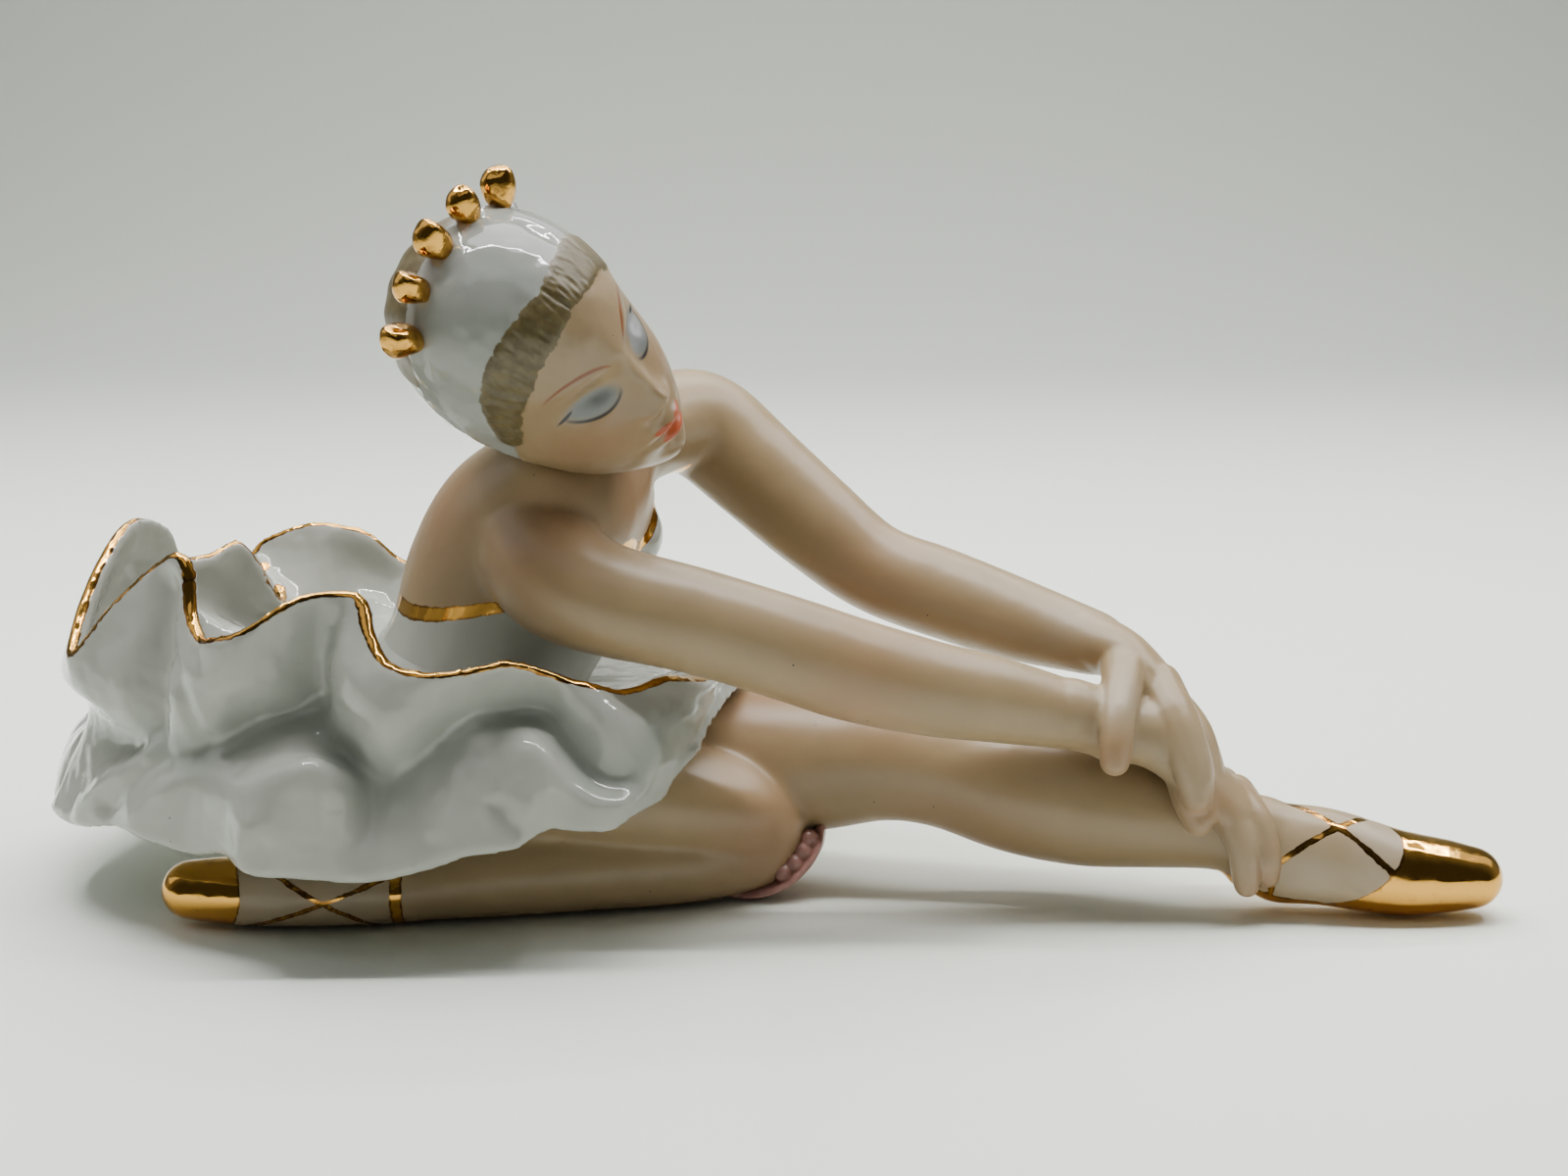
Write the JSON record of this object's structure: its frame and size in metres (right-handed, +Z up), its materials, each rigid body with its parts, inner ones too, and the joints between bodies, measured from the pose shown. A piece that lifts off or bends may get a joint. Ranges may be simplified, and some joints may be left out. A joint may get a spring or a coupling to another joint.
{
  "type": "ballerina figurine",
  "caption": "Glazed porcelain ballerina sitting in a swan pose, leaning over her stretched leg, with a ruffled tutu and gold trim.",
  "frame": {"origin": "under the middle of the figure's box, on the surface that it stands on", "axes": "+X the way the stretched leg points, +Y to her left, +Z up"},
  "size_m": [0.2995, 0.1271, 0.1483],
  "materials": {
    "glazed_porcelain": "glossy glaze over painted skin tones and white, with gold lines and gold shoe tips"
  },
  "bodies": {
    "root": {"figurine": "glazed_porcelain"}
  },
  "joints": []
}
